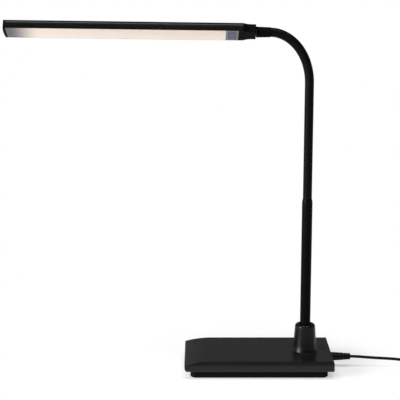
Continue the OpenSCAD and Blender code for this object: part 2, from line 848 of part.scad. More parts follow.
module tip_cap() {
    color("#161617") at_section() {
        intersection() {
            along_x(cap_x, bar_x1) bar_outline(bar_w, bar_t);
            translate([bar_x1 + 4 * bar_t, bar_w, 0]) rotate([90, 0, 0])
                cylinder(h = 2 * bar_w, r = 4 * bar_t, $fn = 128);
        }
        intersection() {
            along_x(cap_x + cap_spigot_l, cap_x - 0.5) cavity_outline(slide_gap);
            box_y(cap_x + cap_spigot_l, cap_x - 0.5, cavity_w, slot_z + slide_gap, inner_top);
        }
    }
}

module led_board() {
    color("#e4e6e4") at_section()
        box_y(led_board_x0, led_board_x1, board_w, inner_top - board_t, inner_top);
}

module led_emitters() {
    seat = inner_top - board_t;
    color("#f2e3a4") at_section() for (i = [0:led_count]) {
        x = (led_board_x0 + led_board_x1) / 2 + (i - led_count / 2) * led_pitch;
        box_y(x - led_size.x / 2, x + led_size.x / 2, led_size.y, seat - led_size.z, seat);
    }
}

module diffuser() {
    color("#f4ede0") at_section()
        box_y(panel_x1 - slide_gap, cap_x + slide_gap, slot_w - 2 * slide_gap, -half_t, slot_z);
}

module switch_panel() {
    color("#5c6670") at_section() difference() {
        box_y(panel_x0 - slide_gap, panel_x1 + slide_gap, slot_w - 2 * slide_gap, -half_t, slot_z);
        translate([panel_mid, 0, 0]) linear_extrude(2 * bar_t, center = true)
            round_rect(key_l + 2 * key_gap, key_w + 2 * key_gap, key_r + key_gap);
    }
}

module power_key() {
    back = slot_z + key_gap;
    color("#3a444e") at_section() translate([panel_mid, 0, 0]) {
        translate([0, 0, -half_t - key_proud]) linear_extrude(back + half_t + key_proud + 0.1)
            round_rect(key_l, key_w, key_r);
        translate([0, 0, back]) linear_extrude(flange_h)
            round_rect(key_l + 2 * flange_over, key_w + 2 * flange_over, key_r);
    }
}

module key_board() {
    color("#2f6b46") at_section() translate([panel_mid, 0, 0])
        box_y(-key_board_l / 2, key_board_l / 2, board_w, inner_top - board_t, inner_top);
}

module key_contact() {
    underside = slot_z + key_gap + flange_h + key_travel + slide_gap;
    seat = inner_top - board_t;
    color("#c9ccd0") at_section() translate([panel_mid, 0, 0]) {
        box_y(-contact_w / 2, contact_w / 2, contact_w, underside + plunger_h, seat);
        translate([0, 0, underside]) cylinder(h = plunger_h + 0.3, d = plunger_d);
    }
}

module bar_lead() {
    color("#d8d4cc") at_bar() swept_tube(lamp_lead_route, lead_d, 3);
}

// ---- Plug and cord ----

module dc_plug() {
    color("#19191a") translate([rear_x, 0, socket_z]) rotate([0, 90, 0]) rotate_extrude() difference() {
        polygon([
            [0, 0], [plug_d / 2, 0], [plug_end_d / 2, plug_l - plug_edge],
            [plug_end_d / 2 - plug_edge, plug_l], [0, plug_l]
        ]);
        translate([0, -1]) square([barrel_d / 2, barrel_grip + 1]);
    }
}

module plug_barrel() {
    full_l = barrel_grip + wall + barrel_l - barrel_end_gap;
    color("#c6c9cd") translate([0, 0, socket_z]) rod(rear_x + barrel_grip, full_l, barrel_d, barrel_d);
}

module cord_run() {
    color("#161617") swept_tube(run_route, cord_d, 4);
}

module cord_coil() {
    color("#161617") translate([coil_x, coil_y, 0]) rotate_extrude()
        translate([coil_mid_r, coil_h / 2]) round_rect(2 * coil_half_w, coil_h, cord_r);
}

module cord_tail() {
    color("#161617") swept_tube(tail_route, cord_d, 4);
}

module cord_tie() {
    inside = 2 * (coil_half_w + tie_slack);
    color("#1e1e1f") translate([coil_x + coil_mid_r, coil_y, coil_h / 2]) rotate([90, 0, 0])
        linear_extrude(tie_w, center = true) difference() {
            round_rect(inside + 2 * tie_t, coil_h, cord_r);
            round_rect(inside, coil_h - 2 * tie_t, cord_r);
        }
}

module supply_plug() {
    color("#19191a") translate([supply_x, supply_y, supply_z]) {
        rod(0, supply_relief_l + 0.5, cord_d + 0.6, cord_d + 2.8);
        along_x(-supply_relief_l, -supply_relief_l - supply_body.x)
            round_rect(supply_body.y, supply_body.z, supply_body_r);
    }
}

module supply_plug_shell() {
    x0 = supply_x - supply_relief_l - supply_body.x;
    color("#c6c9cd") translate([0, supply_y, supply_z]) difference() {
        box_y(x0, x0 - supply_shell.x, supply_shell.y, -supply_shell.z / 2, supply_shell.z / 2);
        box_y(x0 - 2, x0 - supply_shell.x - 1, supply_shell.y - 2 * supply_shell_t, 0,
            supply_shell.z / 2 - supply_shell_t);
    }
}

// ---- Nodes ----

base_top_shell();
base_bottom_cover();
non_slip_pad();
counterweight_plate();
weight_screws();
base_screws();
stem_collar();
lower_tube();
tube_washer();
tube_locknut();
dc_socket();
driver_board();
driver_components();
board_screws();
base_leads();
neck_root_sleeve();
neck_root_core();
for (k = [1:links]) neck_sleeve(k);
for (k = [1:links]) neck_core(k);
swivel_ferrule();
swivel_pin();
bar_neck();
bar_housing();
tip_cap();
led_board();
led_emitters();
diffuser();
switch_panel();
power_key();
key_board();
key_contact();
bar_lead();
dc_plug();
plug_barrel();
cord_run();
cord_coil();
cord_tail();
cord_tie();
supply_plug();
supply_plug_shell();
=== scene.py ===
import json
import math
import bpy
from mathutils import Matrix, Vector


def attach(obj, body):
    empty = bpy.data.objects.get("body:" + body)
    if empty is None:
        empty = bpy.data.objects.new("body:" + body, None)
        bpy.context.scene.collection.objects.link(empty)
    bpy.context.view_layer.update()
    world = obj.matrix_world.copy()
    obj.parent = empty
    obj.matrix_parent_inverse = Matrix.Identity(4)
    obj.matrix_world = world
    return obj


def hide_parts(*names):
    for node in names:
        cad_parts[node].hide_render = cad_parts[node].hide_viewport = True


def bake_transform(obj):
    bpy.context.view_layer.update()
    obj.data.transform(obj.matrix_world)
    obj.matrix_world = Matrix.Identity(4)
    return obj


mm = 0.001
weldGap = 0.002 * mm        # points closer than this are one point
cutGap = 0.0001 * mm        # a cut that passes a point this closely goes through it
edgeShare = 0.3             # the middle of a rounded edge is drawn in by this share of its width
spare = 1.0                 # how far a blank or a cutter stands out past the finished surface
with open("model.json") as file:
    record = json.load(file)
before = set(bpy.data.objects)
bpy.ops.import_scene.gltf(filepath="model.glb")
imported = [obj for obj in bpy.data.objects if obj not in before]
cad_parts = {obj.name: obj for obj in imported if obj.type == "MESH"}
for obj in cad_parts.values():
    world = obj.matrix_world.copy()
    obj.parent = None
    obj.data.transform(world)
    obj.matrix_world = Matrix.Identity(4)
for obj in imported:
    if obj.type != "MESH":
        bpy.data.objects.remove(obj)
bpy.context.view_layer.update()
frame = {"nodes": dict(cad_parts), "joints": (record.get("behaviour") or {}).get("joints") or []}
print("frame loaded")


def deselectAll():
    if bpy.context.object and bpy.context.object.mode == "EDIT":
        bpy.ops.object.mode_set(mode="OBJECT")
    bpy.ops.object.select_all(action="DESELECT")


def pick(piece):
    deselectAll()
    piece.select_set(True)
    bpy.context.view_layer.objects.active = piece


def backToObject():
    bpy.ops.object.mode_set(mode="OBJECT")


def selectFaces(piece, test):
    # selects the faces whose normal passes the test, and stays in edit mode
    pick(piece)
    mesh = piece.data
    mesh.vertices.foreach_set("select", [False] * len(mesh.vertices))
    mesh.edges.foreach_set("select", [False] * len(mesh.edges))
    mesh.polygons.foreach_set("select", [bool(test(f.normal)) for f in mesh.polygons])
    bpy.ops.object.mode_set(mode="EDIT")
    bpy.ops.mesh.select_mode(type="FACE")


def bevelAtHeight(piece, height, width, segments, slack=0.01):
    # rounds the edges that lie level at a height, all in millimetres
    pick(piece)
    mesh = piece.data
    level = [abs(v.co.z - height * mm) < slack * mm for v in mesh.vertices]
    chosen = [level[e.vertices[0]] and level[e.vertices[1]] for e in mesh.edges]
    if not any(chosen):
        raise RuntimeError(piece.name + ": no edge was found")
    mesh.vertices.foreach_set("select", [False] * len(mesh.vertices))
    mesh.polygons.foreach_set("select", [False] * len(mesh.polygons))
    mesh.edges.foreach_set("select", chosen)
    bpy.ops.object.mode_set(mode="EDIT")
    bpy.ops.mesh.select_mode(type="EDGE")
    bpy.ops.mesh.bevel(offset=width * mm, offset_type="OFFSET", segments=segments,
                       affect="EDGES", clamp_overlap=False)
    backToObject()


def applyModifier(piece, kind, **settings):
    pick(piece)
    modifier = piece.modifiers.new(kind.title(), kind)
    for key, value in settings.items():
        setattr(modifier, key, value)
    bpy.ops.object.modifier_apply(modifier=modifier.name)


def softenEdges(piece, width, segments, degrees):
    # rounds the edges that turn by more than so many degrees
    applyModifier(piece, "BEVEL", width=width * mm, segments=segments, limit_method="ANGLE",
                  angle_limit=math.radians(degrees))


def carve(piece, operation, *cutters):
    for cutter in cutters:
        applyModifier(piece, "BOOLEAN", operation=operation, solver="EXACT", object=cutter)
    for cutter in cutters:
        bpy.data.objects.remove(cutter)


def smooth(piece, degrees, crowned=False):
    # rounded faces shade as round; the flat faces between them stay flat unless they are crowned
    pick(piece)
    bpy.ops.object.shade_smooth_by_angle(angle=math.radians(degrees))
    if not crowned:
        applyModifier(piece, "WEIGHTED_NORMAL", mode="FACE_AREA", weight=100, keep_sharp=True)


def place(piece, matrix):
    # puts the piece where it belongs, with its place in its mesh
    pick(piece)
    piece.matrix_world = matrix @ piece.matrix_world
    bpy.ops.object.transform_apply(location=True, rotation=True, scale=True)


def shiftBy(x, y, z):
    # a move in millimetres
    return Matrix.Translation((x * mm, y * mm, z * mm))


def dress(piece, material, body, node):
    piece.data.materials.clear()
    piece.data.materials.append(material)
    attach(piece, body)
    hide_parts(node)


def arc(cx, cy, radius, a0, a1, steps):
    # points in millimetres along part of a circle, angles in degrees
    angles = [math.radians(a0 + (a1 - a0) * i / steps) for i in range(steps + 1)]
    return [(cx + radius * math.cos(a), cy + radius * math.sin(a)) for a in angles]


def arcRadius(run, rise):
    # radius of the arc that leaves a straight line and is this far off it at the end of its run
    return (run ** 2 + rise ** 2) / (2 * rise)


def hexColour(code):
    # an sRGB hex value as the linear colour that a shader takes
    values = [int(code[i:i + 2], 16) / 255 for i in (1, 3, 5)]
    linear = [v / 12.92 if v <= 0.04045 else ((v + 0.055) / 1.055) ** 2.4 for v in values]
    return (*linear, 1.0)


def addNode(tree, kind, settings=None, inputs=None, links=None):
    node = tree.nodes.new("ShaderNode" + kind)
    for key, value in (settings or {}).items():
        setattr(node, key, value)
    for key, value in (inputs or {}).items():
        node.inputs[key].default_value = value
    for key, source in (links or {}).items():
        tree.links.new(source, node.inputs[key])
    return node


def newMaterial(name):
    material = bpy.data.materials.new(name)
    material.use_nodes = True
    tree = material.node_tree
    tree.nodes.clear()
    shader = addNode(tree, "BsdfPrincipled")
    addNode(tree, "OutputMaterial", links={"Surface": shader.outputs[0]})
    place3d = addNode(tree, "TexCoord").outputs["Object"]
    return material, tree, shader, place3d


noiseSpan = (0.3, 0.7)      # nearly all of a noise lies between these


def setStops(ramp, span, codes):
    # the places and the hex colours of a ramp's two stops
    for stop, at, code in zip(ramp.color_ramp.elements, span, codes):
        stop.position = at
        stop.color = hexColour(code)


def finishSurface(tree, shader, tone, relief, colours, roughness, depth):
    # tone varies the colour and the sheen from place to place, and relief is the fine texture
    tint = addNode(tree, "ValToRGB", links={"Fac": tone})
    setStops(tint, noiseSpan, colours)
    sheen = addNode(tree, "MapRange",
                    inputs={"From Min": noiseSpan[0], "From Max": noiseSpan[1],
                            "To Min": roughness[0], "To Max": roughness[1]},
                    links={"Value": tone})
    bump = addNode(tree, "Bump", inputs={"Strength": 1.0, "Distance": depth * mm},
                   links={"Height": relief})
    tree.links.new(tint.outputs["Color"], shader.inputs["Base Color"])
    tree.links.new(sheen.outputs["Result"], shader.inputs["Roughness"])
    tree.links.new(bump.outputs["Normal"], shader.inputs["Normal"])


def mouldedPlastic(name, light, dark, rough, grit, depth, ior=1.53, level=0.5, spread=0.08,
                   cloud=30):
    # an injection moulding takes its fine texture from the tool: grit is the grain size in
    # millimetres and depth its height, cloud is the size in millimetres of the soft patches in
    # its sheen and spread how much they differ
    material, tree, shader, place3d = newMaterial(name)
    grain = addNode(tree, "TexNoise",
                    inputs={"Scale": 1 / (grit * mm), "Detail": 2.0, "Roughness": 0.6},
                    links={"Vector": place3d})
    patches = addNode(tree, "TexNoise", inputs={"Scale": 1 / (cloud * mm), "Detail": 3.0},
                      links={"Vector": place3d})
    finishSurface(tree, shader, patches.outputs["Fac"], grain.outputs["Fac"], (dark, light),
                  (rough - spread, rough + spread), depth)
    shader.inputs["IOR"].default_value = ior
    shader.inputs["Specular IOR Level"].default_value = level
    return material


def workedMetal(name, light, dark, rough, grit, depth, stretch=(1, 1, 1), spread=(0.06, 0.08)):
    # plated, turned or drawn metal: its fine marks run along the axis with the smallest stretch,
    # and spread is how far its roughness goes below and above the middle
    material, tree, shader, place3d = newMaterial(name)
    turn = addNode(tree, "Mapping", inputs={"Scale": stretch}, links={"Vector": place3d})
    marks = addNode(tree, "TexNoise", inputs={"Scale": 1 / (grit * mm), "Detail": 4.0},
                    links={"Vector": turn.outputs[0]})
    finishSurface(tree, shader, marks.outputs["Fac"], marks.outputs["Fac"], (dark, light),
                  (rough - spread[0], rough + spread[1]), depth)
    shader.inputs["Metallic"].default_value = 1.0
    return material


# ABS with a spark-eroded texture: an even satin that hides fingerprints
texturedAbs = mouldedPlastic("texturedAbs", "#121213", "#101011", 0.29, 0.7, 0.005,
                             level=0.24, spread=0.012)
# the cover is the same ABS from a coarser, duller tool; its colour is set darker than the
# shell's, as painted shade under the shell's overhang
dullAbsPaintedShade = mouldedPlastic("dullAbsPaintedShade", "#0a0a0b", "#080809", 0.6, 0.6, 0.02, level=0.06)
# ABS from a finely sanded tool: a broad soft sheen, with a trace of flow in it
satinAbs = mouldedPlastic("satinAbs", "#070709", "#050506", 0.34, 3.0, 0.01,
                          level=0.15, spread=0.02)
# ABS from a polished tool: the narrowest highlight of the plastics here, still a soft one
polishedAbs = mouldedPlastic("polishedAbs", "#09090a", "#080808", 0.25, 0.5, 0.006,
                             level=0.14, spread=0.02)
# the same ABS on the ends of the bar, left matt by a blasted tool
mattAbs = mouldedPlastic("mattAbs", "#0a0a0b", "#080808", 0.5, 0.5, 0.012,
                         level=0.012, spread=0.03)
# stoved enamel on steel tube: a thick smooth coat with a trace of orange peel
stovedEnamel = mouldedPlastic("stovedEnamel", "#070707", "#050505", 0.36, 2.5, 0.02,
                              level=0.03, spread=0.03)
# silicone sleeve shrunk on to the steel core: soft, dull and a little uneven
siliconeSleeve = mouldedPlastic("siliconeSleeve", "#09090a", "#070707", 0.45, 1.6, 0.03,
                                ior=1.43, level=0.05, spread=0.03)
# soft PVC of the plug and the cord: a faint waxy shine
softVinyl = mouldedPlastic("softVinyl", "#0a0a0b", "#080809", 0.4, 0.8, 0.01,
                           level=0.1, spread=0.03)
# cellular rubber pad that keeps the base from sliding: dull and open-grained
padRubber = mouldedPlastic("padRubber", "#202022", "#19191a", 0.85, 0.9, 0.06, level=0.3)
# ABS of the switch panel and its key: light and dark grey, from a fine matt tool
panelAbs = mouldedPlastic("panelAbs", "#6c6c78", "#666672", 0.35, 0.5, 0.005, level=0.3)
keyAbs = mouldedPlastic("keyAbs", "#454a59", "#404452", 0.4, 0.5, 0.005, level=0.3)
print("materials made")


cameraSettings = {
    "place": (-68.5 * mm, -1341 * mm, 471 * mm),
    "downDegrees": 11.36,
    "lens": 106.56,
    "sensorWidth": 36,
    "clip": (0.05, 100),
}


def makeCamera():
    data = bpy.data.cameras.new("camera")
    camera = bpy.data.objects.new("camera", data)
    bpy.context.scene.collection.objects.link(camera)
    data.sensor_width = cameraSettings["sensorWidth"]
    data.lens = cameraSettings["lens"]
    data.clip_start, data.clip_end = cameraSettings["clip"]
    camera.location = cameraSettings["place"]
    camera.rotation_euler = (math.radians(90 - cameraSettings["downDegrees"]), 0, 0)
    bpy.context.scene.camera = camera


makeCamera()
print("camera placed")


# millimetres; the routes are the ones that the solids lie on
cordSettings = {
    "diameter": 3.4,
    "runRoute": [(109.5, 0, 12.5), (119, 0, 12.1), (130, 0, 11.2), (142, 0, 10.4), (154, 0, 9.7),
                 (166, 0, 8.7), (178, 0, 6.8), (189, 0, 4.4), (199, 0, 2.5), (207, 0, 1.8)],
    "tailRoute": [(237, -33, 11.9), (236, -42, 10.2), (231, -51, 7.2), (223, -56, 4.9),
                  (214, -57, 4.3)],
    "coilMiddle": (216, -21.4),
    "coilRadii": (21.4, 18.0, 14.6),
    "coilLayers": 4,
    "pointsPerTurn": 24,
    "stepOverFrom": 0.55,       # share of a turn after which it moves over to the next one
}


def coilTurns():
    # wound clockwise, from the outer turn in and then back out, layer on layer, with a quarter
    # turn more at the end
    settings = cordSettings
    diameter, steps = settings["diameter"], settings["pointsPerTurn"]
    cx, cy = settings["coilMiddle"]
    turns = []
    for layer in range(settings["coilLayers"]):
        radii = settings["coilRadii"][::1 if layer % 2 == 0 else -1]
        turns += [(radius, layer) for radius in radii]
    points = []
    for i in range(len(turns) * steps + steps // 4 + 1):
        turn = i / steps
        index = min(int(turn), len(turns) - 1)
        radius, layer = turns[index]
        nextRadius, nextLayer = turns[min(index + 1, len(turns) - 1)]
        ease = (turn - index - settings["stepOverFrom"]) / (1 - settings["stepOverFrom"])
        ease = max(0.0, min(1.0, ease))
        ease = ease * ease * (3 - 2 * ease)
        radius += (nextRadius - radius) * ease
        z = diameter / 2 + diameter * (layer + (nextLayer - layer) * ease)
        angle = math.pi / 2 - 2 * math.pi * turn
        points.append((cx + radius * math.cos(angle), cy + radius * math.sin(angle), z))
    return points


def makeCord():
    settings = cordSettings
    route = settings["runRoute"] + coilTurns() + settings["tailRoute"]
    curve = bpy.data.curves.new("power_cord", "CURVE")
    curve.dimensions = "3D"
    curve.bevel_depth = settings["diameter"] / 2 * mm
    curve.bevel_resolution = 3
    curve.resolution_u = 3
    curve.use_fill_caps = True
    spline = curve.splines.new("BEZIER")
    spline.bezier_points.add(len(route) - 1)
    for point, spot in zip(spline.bezier_points, route):
        point.co = Vector(spot) * mm
        point.handle_left_type = point.handle_right_type = "AUTO"
    cord = bpy.data.objects.new("power_cord", curve)
    bpy.context.scene.collection.objects.link(cord)
    cord.data.materials.append(softVinyl)
    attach(cord, "base")
    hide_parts("cord_run", "cord_coil", "cord_tail")
    return cord, [Vector(p) * mm for p in route]


cord, cordRoute = makeCord()


# metres
stageSettings = {
    "floorSize": 60.0,
    "floorColour": "#f4f4f4",
    "floorRoughness": 0.9,
    "clearRadius": (0.1, 0.18),     # inside the first radius the floor keeps its shadows
    "lift": 0.5,                    # how far the paper's own white fills the shadows
    "worldLow": 1.0,
    "worldHigh": 0.1,
    "fallOff": (0.05, 0.2),         # sine of the elevations between which the backdrop darkens
}


def makeFloor():
    settings = stageSettings
    deselectAll()
    bpy.ops.mesh.primitive_plane_add(size=settings["floorSize"], location=(0, 0, 0))
    floor = bpy.context.object
    floor.name = "studio_floor"
    material, tree, shader, place3d = newMaterial("paperSweep")
    shader.inputs["Base Color"].default_value = hexColour(settings["floorColour"])
    shader.inputs["Roughness"].default_value = settings["floorRoughness"]
    shader.inputs["Specular IOR Level"].default_value = 0.0
    # away from the lamp, whatever sees the paper sees it pure white
    far = addNode(tree, "VectorMath", {"operation": "LENGTH"}, links={0: place3d})
    inner, outer = settings["clearRadius"]
    away = addNode(tree, "MapRange", {"interpolation_type": "SMOOTHSTEP"},
                   {"From Min": inner, "From Max": outer, "To Min": settings["lift"]},
                   {"Value": far.outputs["Value"]})
    rays = addNode(tree, "LightPath")
    seen = addNode(tree, "Math", {"operation": "MAXIMUM"},
                   links={0: rays.outputs["Is Camera Ray"], 1: rays.outputs["Is Glossy Ray"]})
    seenToo = addNode(tree, "Math", {"operation": "MAXIMUM"},
                      links={0: seen.outputs[0], 1: rays.outputs["Is Transmission Ray"]})
    share = addNode(tree, "Math", {"operation": "MULTIPLY"},
                    links={0: seenToo.outputs[0], 1: away.outputs["Result"]})
    white = addNode(tree, "Emission", inputs={"Color": (1, 1, 1, 1), "Strength": 1.0})
    mix = addNode(tree, "MixShader",
                  links={0: share.outputs[0], 1: shader.outputs[0], 2: white.outputs[0]})
    tree.links.new(mix.outputs[0], tree.nodes["Material Output"].inputs["Surface"])
    floor.data.materials.append(material)


def makeWorld():
    settings = stageSettings
    world = bpy.data.worlds.new("studio")
    bpy.context.scene.world = world
    world.use_nodes = True
    tree = world.node_tree
    tree.nodes.clear()
    direction = addNode(tree, "TexCoord").outputs["Generated"]
    split = addNode(tree, "SeparateXYZ", links={"Vector": direction})
    level = addNode(tree, "MapRange", {"interpolation_type": "SMOOTHSTEP"},
                    {"From Min": settings["fallOff"][0], "From Max": settings["fallOff"][1],
                     "To Min": settings["worldLow"], "To Max": settings["worldHigh"]},
                    {"Value": split.outputs["Z"]})
    light = addNode(tree, "Background", inputs={"Color": (1, 1, 1, 1)},
                    links={"Strength": level.outputs["Result"]})
    addNode(tree, "OutputWorld", links={"Surface": light.outputs[0]})


# metres and watts
softboxes = {
    "softbox_overhead": {
        "place": (-0.1, -0.3, 1.55), "aim": (-0.05, 0, 0.2), "size": (1.7, 0.4), "watts": 20},
    "softbox_left": {
        "place": (-1.75, -0.9, 0.6), "aim": (0, 0, 0.2), "size": (0.75, 0.95), "watts": 62},
}


def makeSoftboxes():
    for name, values in softboxes.items():
        light = bpy.data.lights.new(name, "AREA")
        light.shape = "RECTANGLE"
        light.size, light.size_y = values["size"]
        light.energy = values["watts"]
        softbox = bpy.data.objects.new(name, light)
        bpy.context.scene.collection.objects.link(softbox)
        softbox.location = values["place"]
        towards = Vector(values["aim"]) - Vector(values["place"])
        softbox.rotation_euler = towards.to_track_quat("-Z", "Y").to_euler()


makeFloor()
makeWorld()
makeSoftboxes()
bpy.context.scene.view_settings.view_transform = "Standard"
print("stage lit")


zToX = Matrix.Rotation(math.pi / 2, 4, "Y")         # lays a turned piece along X
xToZ = Matrix.Rotation(-math.pi / 2, 4, "Y")        # stands an extruded piece up along Z


def drawLine(name, points):
    # edges from point to point in millimetres, left selected in edit mode
    deselectAll()
    bpy.ops.mesh.primitive_plane_add(size=mm, location=tuple(c * mm for c in points[0]))
    piece = bpy.context.object
    piece.name = piece.data.name = name
    bpy.ops.object.transform_apply(location=True, rotation=True, scale=True)
    bpy.ops.object.mode_set(mode="EDIT")
    bpy.ops.mesh.select_mode(type="VERT")
    bpy.ops.mesh.select_all(action="SELECT")
    bpy.ops.mesh.merge(type="CENTER")
    for start, end in zip(points, points[1:]):
        step = tuple((b - a) * mm for a, b in zip(start, end))
        bpy.ops.mesh.extrude_region_move(TRANSFORM_OT_translate={"value": step})
    bpy.ops.mesh.select_all(action="SELECT")
    return piece


def closeMesh(gap):
    # merges the points that meet, turns the faces outwards and leaves edit mode
    bpy.ops.mesh.select_all(action="SELECT")
    bpy.ops.mesh.remove_doubles(threshold=gap)
    bpy.ops.mesh.normals_make_consistent(inside=False)
    backToObject()


def addTurned(name, profile, segments):
    # a profile of (radius, height) points in millimetres, spun round its own Z
    piece = drawLine(name, [(radius, 0, height) for radius, height in profile])
    bpy.ops.mesh.spin(steps=segments, angle=2 * math.pi, center=(0, 0, 0), axis=(0, 0, 1))
    closeMesh(weldGap)
    return piece


def addDrill(name, radius, start, end):
    # a round cutter that stands along Z
    return addTurned(name, [(0, start), (radius, start), (radius, end), (0, end)], 32)


def addExtruded(name, outline, start, end):
    # a closed outline of (y, z) points in millimetres, drawn along X from start to end
    piece = drawLine(name, [(start, y, z) for y, z in outline])
    bpy.ops.mesh.edge_face_add()
    bpy.ops.mesh.extrude_region_move(
        TRANSFORM_OT_translate={"value": ((end - start) * mm, 0, 0)})
    closeMesh(weldGap)
    return piece


def roundedOutline(width, height, topRadius, lowRadius, steps=8):
    # a closed outline round (0, 0), in millimetres, from its lower right corner anticlockwise
    w, h, a, b = width / 2, height / 2, topRadius, lowRadius
    return (arc(w - b, -h + b, b, -90, 0, steps) + arc(w - a, h - a, a, 0, 90, steps)
            + arc(-w + a, h - a, a, 90, 180, steps) + arc(-w + b, -h + b, b, 180, 270, steps))


def addSlab(name, length, width, radius, bottom, top, middle=0, steps=8):
    # an upright block with rounded corners, its length along X about the given middle
    slab = addExtruded(name, roundedOutline(width, length, radius, radius, steps), bottom, top)
    place(slab, shiftBy(middle, 0, 0) @ xToZ)
    return slab


def nodeSize(node, matrix=None):
    # lowest and highest corners of a CAD node in millimetres, in the frame of the matrix
    back = (matrix or Matrix()).inverted()
    spots = [back @ v.co / mm for v in frame["nodes"][node].data.vertices]
    return ([min(p[i] for p in spots) for i in range(3)],
            [max(p[i] for p in spots) for i in range(3)])


# millimetres, here and for the pieces that follow
baseValues = {
    "wall": 2.0,
    "sideRun": 2.2,             # how far the long sides bulge out below the crease
    "sideFall": 9.3,
    "endRun": 1.2,              # the same at the rear end
    "endFall": 5.3,
    "frontRim": 4.5,            # radius of the shell's lower edge at the front
    "rimRadius": 2.0,           # and along the sides and the rear
    "cornerRadius": 2.5,
    "leastRadius": 0.5,         # the smallest that these are drawn on the inside of the wall
    "noseLength": 32.0,         # the front end slopes down over this length by this much
    "noseDrop": 5.0,
    "softEdge": 0.5,
    "shellBottom": 9.0,
    "flange": 2.0,
    "openingFrom": 5.0,
    "openingTo": 12.0,
    "coverCorner": 6.0,
    "coverEdge": 0.6,
    "padEdge": 0.3,
    "socketHoleRadius": 3.25,
    "socketHoleDepth": 4.0,
    "socketRise": 3.5,
    "throatRadius": 6.0,        # the hole that the stem goes through
    "throatFrom": 15.0,
    "throatTo": 25.0,
}


def bulge(face, top, run, fall, inset):
    # points from the upright part of a side up to its crease with the top face
    radius = arcRadius(fall, run)
    crease = math.degrees(math.asin((fall - inset) / (radius - inset)))
    return arc(face - radius, top - fall, radius - inset, 0, crease, 10)


def shave(piece, curve, axis):
    # cuts away what stands outside a convex curve drawn in the upright plane of the given axis
    pick(piece)
    bpy.ops.object.mode_set(mode="EDIT")
    for (u0, z0), (u1, z1) in zip(curve, curve[1:]):
        across = Vector((z1 - z0, u0 - u1)).normalized()
        spot = Vector((0, 0, z0 * mm))
        spot[axis] = u0 * mm
        facing = Vector((0, 0, across.y))
        facing[axis] = across.x
        bpy.ops.mesh.select_all(action="SELECT")
        bpy.ops.mesh.bisect(plane_co=spot, plane_no=facing, use_fill=True, clear_outer=True,
                            threshold=cutGap)
    backToObject()


def baseForm(name, inset, bottom):
    # an upright block in the plan's outline, shaved down to the side view and the end view
    v = baseValues
    low, high = nodeSize("base_top_shell")
    front, rear, half, top = low[0] + inset, high[0] - inset, high[1] - inset, high[2]
    rim, frontRim, corner = [max(v[radius] - inset, v["leastRadius"])
                             for radius in ("rimRadius", "frontRim", "cornerRadius")]
    plan = roundedOutline(rear - front, 2 * half, corner, corner, 6)
    block = addExtruded(name, [(y, -x) for x, y in plan], bottom, top + spare)
    place(block, xToZ)
    noseRadius = arcRadius(v["noseLength"], v["noseDrop"])
    noseEnd = low[0] + v["noseLength"]
    reach = noseRadius - inset
    slopeAngle = 90 + math.degrees(math.asin((noseEnd - front) / reach))
    nose = arc(noseEnd, top - noseRadius, reach, 90, slopeAngle, 20)
    shave(block, [(rear, top - inset)] + nose, 0)
    shave(block, bulge(high[0], top, v["endRun"], v["endFall"], inset), 0)
    shave(block, arc(rear - rim, bottom + rim, rim, -90, 0, 6), 0)
    shave(block, arc(front + frontRim, bottom + frontRim, frontRim, 180, 270, 8), 0)
    sideLine = bulge(high[1], top, v["sideRun"], v["sideFall"], inset)
    sideRim = arc(half - rim, bottom + rim, rim, -90, 0, 6)
    for line in (sideLine, sideRim):
        shave(block, line, 1)
        shave(block, [(-y, z) for y, z in reversed(line)], 1)
    pick(block)
    bpy.ops.object.mode_set(mode="EDIT")
    closeMesh(weldGap / 2)
    return block


def makeShell():
    v = baseValues
    shell = baseForm("base_shell", 0, v["shellBottom"])
    softenEdges(shell, v["softEdge"], 3, 40)
    inside = baseForm("base_inside", v["wall"], v["shellBottom"] + v["flange"])
    coverLow, coverHigh = nodeSize("base_bottom_cover")
    opening = addSlab("base_opening", coverHigh[0] - coverLow[0] - 2 * v["wall"],
                      coverHigh[1] - coverLow[1] - 2 * v["wall"],
                      v["coverCorner"] - v["wall"] / 2, v["openingFrom"], v["openingTo"])
    rear = nodeSize("base_top_shell")[1][0]
    hole = addDrill("socket_hole", v["socketHoleRadius"], -v["socketHoleDepth"],
                    v["socketHoleDepth"])
    place(hole, shiftBy(rear, 0, v["shellBottom"] + v["socketRise"]) @ zToX)
    tubeLow, tubeHigh = nodeSize("lower_tube")
    throat = addDrill("stem_hole", v["throatRadius"], v["throatFrom"], v["throatTo"])
    place(throat, shiftBy((tubeLow[0] + tubeHigh[0]) / 2, 0, 0))
    carve(shell, "DIFFERENCE", inside, opening, hole, throat)
    smooth(shell, 30)
    dress(shell, texturedAbs, "base", "base_top_shell")


def makeCover():
    # a tray with its open side up, inside the shell
    v = baseValues
    low, high = nodeSize("base_bottom_cover")
    cover = addSlab("base_cover", high[0] - low[0], high[1] - low[1], v["coverCorner"],
                    low[2], high[2])
    bevelAtHeight(cover, low[2], v["coverEdge"], 3)
    selectFaces(cover, lambda normal: normal.z > 0.9)
    bpy.ops.mesh.inset(thickness=v["wall"] * mm)
    bpy.ops.mesh.extrude_region_move(TRANSFORM_OT_translate={
        "value": (0, 0, -(high[2] - low[2] - v["wall"]) * mm)})
    backToObject()
    smooth(cover, 30)
    # the cover's darker colour is painted shade under the shell's overhang
    dress(cover, dullAbsPaintedShade, "base", "base_bottom_cover")


def makePad():
    v = baseValues
    coverLow, coverHigh = nodeSize("base_bottom_cover")
    low, high = nodeSize("non_slip_pad")
    length = high[0] - low[0]
    corner = v["coverCorner"] - (coverHigh[0] - coverLow[0] - length) / 4
    pad = addSlab("base_pad", length, high[1] - low[1], corner, low[2], high[2])
    bevelAtHeight(pad, low[2], v["padEdge"], 2)
    smooth(pad, 30)
    dress(pad, padRubber, "base", "non_slip_pad")


makeShell()
makeCover()
makePad()
print("base made")


